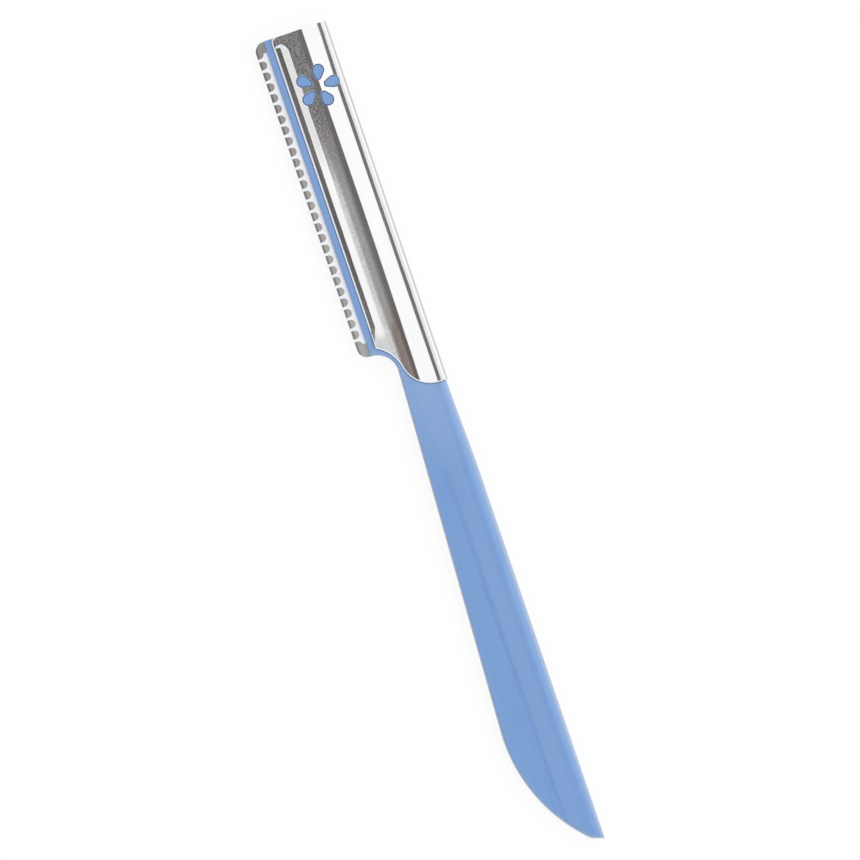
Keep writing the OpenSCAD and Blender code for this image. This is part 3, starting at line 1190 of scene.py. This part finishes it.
@dataclass(frozen=True)
class Handle:
    """The moulding: the grip with its pointed tail, the lips that hold the blade, and the petals."""

    length: float = 152
    neck_w: float = 7.8
    neck_r: float = 3.8
    belly_w: float = 11.3
    belly_x: float = 128.364
    tail_r: float = 29.5
    tip_w: float = 2.05
    tip_slant: float = 0.7
    blade_l: float = 58.5
    lip_w: float = 11.6
    slit_h: float = 0.125
    mouth_h: float = 0.225
    mouth_y: float = 10.2
    slit_y: float = 7.4
    cover_end: float = 66.6
    full_x: float = 84.1
    edge_round: float = 0.8
    round_share: float = 0.4
    tip_round: float = 1.25
    tip_round_from: float = 9
    tip_round_to: float = 1
    bluntness: float = 2.4
    fold_gap: float = 0.05
    end_round: float = 0.12
    end_recess: float = 0.35
    petal_gap: float = 0.1
    petal_low: float = 0.03
    petal_bevel: float = 0.12
    petal_bevel_steps: int = 4
    petal_depth: float = 0.75
    lip_round: float = 0.14
    lip_from: float = 10.3
    lip_soft: float = 0.2
    lip_slope: float = 0.3
    lip_end: float = 1.5
    lip_end_gaps: tuple[float, ...] = (1.2, 0.9, 0.6, 0.4, 0.25, 0.12, 0.05, 0.0)
    core: Ridge = Ridge(top=1.54, side=1.105, crease=4.45, land=1.7, spine_r=0.94, inset=0.36, soft=0.15)
    neck: Ridge = Ridge(top=1.42, side=0.84, crease=6.4, land=2.4, spine_r=1.3, inset=0.35, soft=0.5)
    grip: Ridge = Ridge(top=1.9, side=1.15, crease=5.4, land=2.7, spine_r=1.8, inset=0, soft=0.16,
                        crown=0.007)
    tail: Ridge = Ridge(top=1.4, side=1.1, crease=5.4, land=2.7, spine_r=1.35, inset=0, soft=0.2,
                        crown=0.005)
    tail_from: float = 2
    round_steps: int = 11
    side_steps: int = 11
    lip_steps: int = 14
    bend_steps: int = 30
    neck_steps: int = 30
    grip_steps: int = 30
    tail_steps: int = 44
    tail_crowding: float = 1.3
    tip_steps: int = 10
    tip_crowding: float = 1.5
    crisp: float = 40

    @property
    def neck_x(self) -> float:
        """Where the straight side of the grip starts."""
        return self.blade_l + self.neck_r

    @property
    def taper(self) -> float:
        """Angle of the grip's blade side against the spine."""
        return math.atan((self.belly_w - self.neck_w) / (self.belly_x - self.neck_x))

    @property
    def tail_x(self) -> float:
        """Where the tail curve's centre lies along the razor."""
        return self.belly_x + self.tail_r * math.sin(self.taper)

    @property
    def tail_y(self) -> float:
        """Where the tail curve's centre lies across the razor."""
        return self.tail_r * math.cos(self.taper) - self.belly_w

    def ridge(self, x: float) -> Ridge:
        """The cross section's ridge at a place along the razor.

        Args:
            x: Place along the razor.

        Returns:
            The ridge.
        """
        if x < self.cover_end:
            return self.core.toward(self.neck, smooth(x, self.neck_x, self.cover_end))
        if x < self.belly_x:
            return self.neck.toward(self.grip, smooth(x, self.cover_end, self.full_x))
        return self.grip.toward(self.tail, smooth(x, self.belly_x - self.tail_from, self.length))

    def reach(self, x: float) -> float:
        """Distance from the spine to the blade-side contour.

        Args:
            x: Place along the razor.

        Returns:
            The distance.
        """
        if x < self.neck_x:
            side = max(0.0, self.neck_r**2 - (self.neck_x - x) ** 2)
            return self.neck_w + self.neck_r - math.sqrt(side)
        if x < self.belly_x:
            return self.neck_w + (x - self.neck_x) * math.tan(self.taper)
        curve = math.sqrt(self.tail_r**2 - (x - self.tail_x) ** 2) - self.tail_y
        return max(0.0, min(curve, (self.length - x) * self.tip_w / self.tip_slant))

    def margin(self, x: float, y: float) -> float:
        """Distance in plan from a point to the blade-side contour.

        Args:
            x: Place along the razor.
            y: Place across the razor.

        Returns:
            The distance, which is negative outside.
        """
        if x < self.neck_x:
            return math.hypot(x - self.neck_x, y + self.neck_w + self.neck_r) - self.neck_r
        if x < self.belly_x:
            return (self.reach(x) + y) * math.cos(self.taper)
        curve = self.tail_r - math.hypot(x - self.tail_x, y - self.tail_y)
        cut = (self.length - x) * self.tip_w + y * self.tip_slant
        return min(curve, cut / math.hypot(self.tip_w, self.tip_slant))

    def edge_radius(self, x: float) -> float:
        """Radius of the rounding along the blade side."""
        to_tip = smooth(x, self.length - self.tip_round_from, self.length - self.tip_round_to)
        return mixed(self.edge_round, self.tip_round, to_tip)

    def depths(self, ridge: Ridge, reach: float, edge: float) -> list[float]:
        """Depths of a cross section's points.

        Args:
            ridge: The section's ridge.
            reach: Depth of the blade-side contour.
            edge: Radius of the rounding along that contour.

        Returns:
            The depths, from the contour back to the spine.
        """
        folds = ridge.folds()
        fit = min(1.0, (reach - edge) / (folds[-1] + self.fold_gap))
        spine = ridge.inset + ridge.spine_r
        turns = spread(0, QUARTER_TURN, self.round_steps)
        found = [reach - edge * (1 - math.cos(turn) ** (2 / self.bluntness)) for turn in turns]
        found += spread(reach - edge, folds[-1] * fit, self.side_steps)[1:-1]
        for fold in reversed(folds):
            found.append(fold * fit if fold > spine else mixed(ridge.inset, fold, fit))
        return found

    def slit_wall(self, reach: float) -> list[tuple[float, float]]:
        """The upper wall of the slit for the blade and of its wider mouth, from its bottom to the edge.

        Args:
            reach: Depth of the lips' edge.

        Returns:
            The wall's points, as y and z.
        """
        bottom = (-self.slit_y + self.slit_h, 0.0)
        wall = [(-self.slit_y, self.slit_h), (-self.mouth_y, self.slit_h)]
        mouth = [(-self.mouth_y, self.mouth_h), (-reach + self.fold_gap, self.mouth_h)]
        return [bottom] + wall + mouth

    def ring(self, x: float, slit: bool, worn: float) -> list[tuple[float, float]]:
        """One cross section, as points of y and z.

        Args:
            x: Its place along the razor.
            slit: Whether the slit for the blade is open there.
            worn: How far its outer surface is moved in.

        Returns:
            The points, from the slit's bottom over the upper side and back below.
        """
        ridge = self.ridge(x).shrunk(worn) if worn else self.ridge(x)
        mouth = self.mouth_h if slit else 0.0
        reach = (self.lip_w if slit else self.reach(x)) - worn
        radius = self.edge_radius(x)
        edge = self.lip_round if slit else min(radius, reach * self.round_share)
        wall = self.slit_wall(reach)
        half = wall if slit else [(-reach, 0.0)] * len(wall)
        for depth in self.depths(ridge, reach, edge):
            near = max(0.0, self.margin(x, -depth) - worn) / radius
            height = ridge.height(depth)
            if slit:
                near = min(near, (reach - depth) / self.lip_round)
                height -= self.lip_slope * soft_ramp(depth - self.lip_from, self.lip_soft)
            blunt = 1.0 if near >= 1 else (1 - (1 - near) ** self.bluntness) ** (1 / self.bluntness)
            half.append((-depth, mixed(mouth, height, blunt)))
        return half + [(y, -z) for y, z in reversed(half)]

    def stations(self) -> list[tuple[float, bool, float]]:
        """Places along the razor for a cross section, with the slit's state and the wear of the end.

        Returns:
            Each section's place, whether the slit is open there, and how far it is worn.
        """
        lips = spread(self.end_round, self.blade_l - self.lip_end, self.lip_steps)
        lips += [self.blade_l - gap for gap in self.lip_end_gaps]
        last = self.length - self.tip_slant
        turns = spread(0, QUARTER_TURN, self.bend_steps)
        to_belly = [1 - (1 - share) ** self.tail_crowding for share in spread(0, 1, self.tail_steps)[1:]]
        to_tip = [1 - (1 - share) ** self.tip_crowding for share in spread(0, 1, self.tip_steps)[1:]]
        grip = [self.neck_x - self.neck_r * math.cos(turn) for turn in turns]
        grip += spread(self.neck_x, self.full_x, self.neck_steps)[1:]
        grip += spread(self.full_x, self.belly_x, self.grip_steps)[1:]
        grip += [mixed(self.belly_x, last, share) for share in to_belly]
        grip += [mixed(last, self.length, share) for share in to_tip]
        worn = [(0.0, True, self.end_round)]
        return worn + [(x, True, 0.0) for x in lips] + [(x, False, 0.0) for x in grip]

    def loft(self) -> BMesh:
        """The moulding's body, without the petals.

        Returns:
            The closed body.
        """
        rings = [(x, self.ring(x, slit, worn)) for x, slit, worn in self.stations()]
        columns = len(rings[0][1]) + 1
        mesh = bmesh.new()
        bmesh.ops.create_grid(mesh, x_segments=columns - 1, y_segments=len(rings) - 1, size=1)
        for point in mesh.verts:
            row, column = divmod(point.index, columns)
            x, ring = rings[row]
            y, z = ring[column % len(ring)]
            back = self.end_recess if x < self.end_recess and -y < self.mouth_y else 0.0
            point.co = (x + back, y, z)
        merge(mesh)
        end = [edge for edge in mesh.edges if edge.is_boundary]
        bmesh.ops.triangle_fill(mesh, edges=end, use_beauty=True, use_dissolve=False, normal=(-1, 0, 0))
        bmesh.ops.dissolve_degenerate(mesh, edges=mesh.edges[:], dist=MERGE / 4)
        bmesh.ops.recalc_face_normals(mesh, faces=mesh.faces[:])
        return mesh

    def petal(self, mesh: BMesh, number: int, cover: SpineCover) -> None:
        """Adds one petal on both sides, standing in its window of the cover.

        Args:
            mesh: The moulding.
            number: Which petal, from 0.
            cover: The sheet whose surface the petal follows.
        """
        boss = bmesh.new()
        outline = cover.flower.petal(boss, number, -self.petal_gap)
        top = bmesh.ops.edgeloop_fill(boss, edges=outline)["faces"]
        made = bmesh.ops.extrude_face_region(boss, geom=top, use_keep_orig=True)["geom"]
        low = [item for item in made if isinstance(item, BMVert)]
        bmesh.ops.translate(boss, verts=low, vec=(0, 0, -self.petal_depth))
        bmesh.ops.recalc_face_normals(boss, faces=boss.faces[:])
        rim = [edge for edge in boss.edges if all(abs(point.co.z) < MERGE for point in edge.verts)]
        bmesh.ops.bevel(boss, geom=rim, offset=self.petal_bevel, offset_type="OFFSET", profile=0.5,
                        segments=self.petal_bevel_steps, affect="EDGES", clamp_overlap=True, material=-1)
        cut_across(boss, [-depth for depth in cover.folds()[1]], Vector((0, 1, 0)))
        drape(boss.verts[:], lambda x, y: cover.height(x, y) - self.petal_low)
        for side in Side:
            turned = boss.copy()
            if side is Side.LOWER:
                bmesh.ops.scale(turned, verts=turned.verts[:], vec=(1, 1, side.value))
                bmesh.ops.reverse_faces(turned, faces=turned.faces[:])
            holder = bpy.data.meshes.new("petal")
            turned.to_mesh(holder)
            turned.free()
            mesh.from_mesh(holder)
            bpy.data.meshes.remove(holder)
        boss.free()

    def build(self, datum: Datum, material: bpy.types.Material, cover: SpineCover) -> bpy.types.Object:
        """Builds the moulding.

        Args:
            datum: Where the razor lies.
            material: Its finish.
            cover: The sheet round the head.

        Returns:
            The moulding.
        """
        mesh = self.loft()
        for number in range(cover.flower.petals):
            self.petal(mesh, number, cover)
        return put_in_frame(mesh, datum, "handle_moulding", material, "handle", self.crisp)


@dataclass(frozen=True)
class EdgeGuard:
    """The thin perforated strip that is folded over the cutting edge."""

    pitch: float = 2
    cells: int = 27
    start: float = 2
    window_l: float = 1.5
    window_y: float = 13.0
    thickness: float = 0.1
    window_steps: int = 8
    nose_y: float = 13.65
    nose_r: float = 0.225
    nose_steps: int = 10
    grip_y: float = 10.2
    edge_bevel: float = 0.018
    crisp: float = 35

    @property
    def quarter(self) -> float:
        """Length of the strip from the nose to the straight leg."""
        return QUARTER_TURN * self.nose_r

    @property
    def leg(self) -> float:
        """Length of the strip from the nose to the end of a leg."""
        return self.quarter + self.nose_y - self.nose_r - self.grip_y

    def cell(self) -> BMesh:
        """One bar with half a window on each side, laid out flat with the nose along y = 0.

        Returns:
            The flat bar.
        """
        mesh = bmesh.new()
        radius = self.window_l / 2
        round_at = self.quarter + self.nose_y - self.nose_r - self.window_y
        pen = Pen.at(mesh, 0, self.leg)
        for x, up in ((0, 1), (self.pitch, -1)):
            pen.line(x, up * (round_at + radius))
            pen.arc((x, up * round_at), -90, self.window_steps)
            pen.line(x + up * radius, -up * round_at)
            pen.arc((x, -up * round_at), -90, self.window_steps)
            pen.line(x, -up * self.leg)
            pen.line(self.pitch - x, -up * self.leg)
        merge(mesh)
        bmesh.ops.edgeloop_fill(mesh, edges=mesh.edges[:])
        turns = spread(-self.quarter, self.quarter, self.nose_steps)
        cut_across(mesh, turns + [-round_at, round_at], Vector((0, 1, 0)))
        return mesh

    def fold(self, point: BMVert) -> None:
        """Bends a point of the flat strip round the cutting edge.

        Args:
            point: The point that is moved.
        """
        run = point.co.y
        bend = max(-self.quarter, min(self.quarter, run)) / self.nose_r
        centre = self.nose_r - self.nose_y
        straight = max(0.0, abs(run) - self.quarter)
        point.co.y = centre - self.nose_r * math.cos(bend) + straight
        point.co.z = self.nose_r * math.sin(bend)

    def build(self, datum: Datum, material: bpy.types.Material) -> bpy.types.Object:
        """Builds the guard.

        Args:
            datum: Where the razor lies.
            material: Its finish.

        Returns:
            The guard.
        """
        mesh = self.cell()
        bmesh.ops.translate(mesh, verts=mesh.verts[:], vec=(self.start, 0, 0))
        first = mesh.verts[:] + mesh.edges[:] + mesh.faces[:]
        for number in range(1, self.cells):
            made = bmesh.ops.duplicate(mesh, geom=first)["geom"]
            points = [item for item in made if isinstance(item, BMVert)]
            bmesh.ops.translate(mesh, verts=points, vec=(self.pitch * number, 0, 0))
        merge(mesh)
        for point in mesh.verts:
            self.fold(point)
        face_out(mesh)
        rims = [edge for edge in mesh.edges if edge.is_boundary]
        thicken(mesh, self.thickness)
        rims = [edge for edge in rims if edge.is_valid]
        bmesh.ops.bevel(mesh, geom=rims, offset=self.edge_bevel, offset_type="OFFSET", profile=0.5,
                        segments=1, affect="EDGES", clamp_overlap=True, material=-1)
        return put_in_frame(mesh, datum, "perforated_guard", material, "edge_guard", self.crisp)


@dataclass(frozen=True)
class Blade:
    """The thin ground strip between the lips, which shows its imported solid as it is."""

    node: str = "blade"

    def dress(self, material: bpy.types.Material) -> None:
        """Gives the blade its steel.

        Args:
            material: Its finish.
        """
        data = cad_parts[self.node].data
        data.materials.clear()
        data.materials.append(material)
        LOG.info("%s: %d faces", self.node, len(data.polygons))


@dataclass(frozen=True)
class Studio:
    """A white tent over a pale floor, with a dark opening overhead and a dark card on the blade side.

    Each part of the tent has a brightness, and spans of x, y or z of the direction in which it is seen.
    """

    floor_size: float = 12
    floor_drop: float = 0.00002
    paper: Colour = (0.92, 0.92, 0.92, 1)
    paper_seen: float = 0.9
    paper_mirrored: float = 0.35
    bright: float = 1.1
    bright_z: Span = (0.05, 0.3)
    opening: float = 0.138
    opening_edge: Span = (0.27, 0.19)
    opening_length: float = 1.5
    opening_y: float = 0.026
    opening_z: Span = (0.4, 0.7)
    warmth: Colour = (1.05, 1.0, 0.965, 1)
    card: float = 0.092
    card_y: Span = (-0.68, -0.77)
    card_z: Span = (0.26, 0.38)
    spine_side: float = 0.84
    spine_side_from: Span = (0.36, 0.48)
    spine_side_to: Span = (0.86, 0.7)
    far_ends: float = 0.85
    far_ends_x: Span = (0.35, 0.85)
    far_ends_z: Span = (0.1, 0.3)
    lamp_w: float = 3
    lamp_place: tuple[float, float, float] = (0.15, 0.55, 0.75)
    lamp_size: float = 0.5

    def floor(self) -> bpy.types.Object:
        """Lays the floor, which shows white and keeps the razor's soft shadow.

        Returns:
            The floor.
        """
        mesh = bmesh.new()
        bmesh.ops.create_grid(mesh, x_segments=1, y_segments=1, size=self.floor_size / 2)
        bmesh.ops.translate(mesh, verts=mesh.verts[:], vec=(0, 0, -self.floor_drop))
        data = bpy.data.meshes.new("floor")
        mesh.to_mesh(data)
        mesh.free()
        data.materials.append(self.floor_material())
        floor = bpy.data.objects.new("floor", data)
        bpy.context.scene.collection.objects.link(floor)
        return floor

    def floor_material(self) -> bpy.types.Material:
        """White paper that looks white to the camera and in reflections.

        Returns:
            The paper.
        """
        material = bpy.data.materials.new("white_paper")
        material.use_nodes = True
        graph = Graph(material.node_tree)
        nodes = graph.tree.nodes
        nodes.remove(nodes["Principled BSDF"])
        path = graph.add("ShaderNodeLightPath", {})
        seen = graph.math("MAXIMUM", path.outputs["Is Camera Ray"], path.outputs["Is Transmission Ray"])
        mirrored = graph.times(path.outputs["Is Glossy Ray"], self.paper_mirrored)
        share = graph.math("MAXIMUM", graph.times(seen, self.paper_seen), mirrored)
        paper = graph.add("ShaderNodeBsdfDiffuse", {"Color": self.paper})
        white = graph.add("ShaderNodeEmission", {"Color": WHITE, "Strength": 1.0})
        both = graph.add("ShaderNodeMixShader", {0: share, 1: paper.outputs[0], 2: white.outputs[0]})
        graph.feed(nodes["Material Output"], {"Surface": both.outputs[0]})
        return material

    def world(self) -> None:
        """Hangs the tent: brightness by direction, the same for every ray."""
        world = bpy.data.worlds.new("tent")
        world.use_nodes = True
        bpy.context.scene.world = world
        graph = Graph(world.node_tree)
        x, y, z = graph.axes("Generated")
        ahead = graph.math("DIVIDE", x, self.opening_length)
        aside = graph.math("SUBTRACT", y, self.opening_y)
        away = graph.math("SQRT", graph.plus(graph.times(ahead, ahead), graph.times(aside, aside)))
        overhead = graph.times(graph.fade(away, self.opening_edge), graph.fade(z, self.opening_z))
        blade_side = graph.times(graph.fade(y, self.card_y), graph.fade(z, self.card_z))
        spine_side = graph.times(graph.fade(y, self.spine_side_from), graph.fade(y, self.spine_side_to))
        ends = graph.fade(graph.math("ABSOLUTE", x), self.far_ends_x)
        ends = graph.times(ends, graph.fade(z, self.far_ends_z))
        light = graph.blend(graph.fade(z, self.bright_z), 1.0, self.bright)
        light = graph.blend(ends, light, self.far_ends)
        light = graph.blend(spine_side, light, self.spine_side)
        light = graph.blend(blade_side, light, self.card)
        light = graph.blend(overhead, light, self.opening)
        warm = graph.tint(graph.math("MAXIMUM", overhead, blade_side), WHITE, self.warmth)
        graph.feed(graph.tree.nodes["Background"], {"Color": warm, "Strength": light})

    def lamp(self) -> None:
        """Hangs one large soft lamp on the spine side."""
        data = bpy.data.lights.new("soft_lamp", "AREA")
        data.size = self.lamp_size
        data.energy = self.lamp_w
        lamp = bpy.data.objects.new("soft_lamp", data)
        bpy.context.scene.collection.objects.link(lamp)
        lamp.location = self.lamp_place
        lamp.rotation_euler = Vector(self.lamp_place).to_track_quat("Z", "Y").to_euler()
        lamp.visible_glossy = False

    def build(self) -> None:
        """Sets up the whole studio."""
        self.floor()
        self.world()
        self.lamp()
        bpy.context.scene.view_settings.view_transform = "Standard"
        LOG.info("studio is set up")


@dataclass(frozen=True)
class Viewpoint:
    """The camera: straight above the razor, which lies askew in the picture."""

    aim_x: float = 74.1
    aim_y: float = -5.9
    askew: float = 18.85
    distance: float = 1.0
    picture_w: float = 0.1513
    sensor: float = 36
    nearest: float = 0.01

    def build(self, datum: Datum) -> None:
        """Sets up the camera.

        Args:
            datum: Where the razor lies.
        """
        data = bpy.data.cameras.new("camera")
        data.sensor_width = self.sensor
        data.lens = self.sensor * self.distance / self.picture_w
        data.clip_start = self.nearest
        camera = bpy.data.objects.new("camera", data)
        bpy.context.scene.collection.objects.link(camera)
        turn = math.radians(self.askew)
        right = Vector((math.sin(turn), math.cos(turn), 0))
        up = Vector((-math.cos(turn), math.sin(turn), 0))
        view = Matrix((right, up, Vector((0, 0, 1)))).transposed().to_4x4()
        view.translation = (datum.along(self.aim_x), datum.across(self.aim_y), datum.mid_z + self.distance)
        camera.matrix_world = view
        bpy.context.scene.camera = camera
        LOG.info("camera is set up")


def main() -> None:
    """Dresses the razor, piece by piece, and sets up the camera and the studio."""
    logging.basicConfig(level=logging.INFO, format="%(message)s")
    datum = Datum.of_handle()
    cover = SpineCover()
    Viewpoint().build(datum)
    Handle().build(datum, GlossPlastic(datum, cover).material(), cover)
    cover.build(datum, PolishedSheet(datum).material())
    EdgeGuard().build(datum, SatinStrip(datum).material())
    Blade().dress(GroundSteel(datum).material())
    Studio().build()


if __name__ == "__main__":
    main()
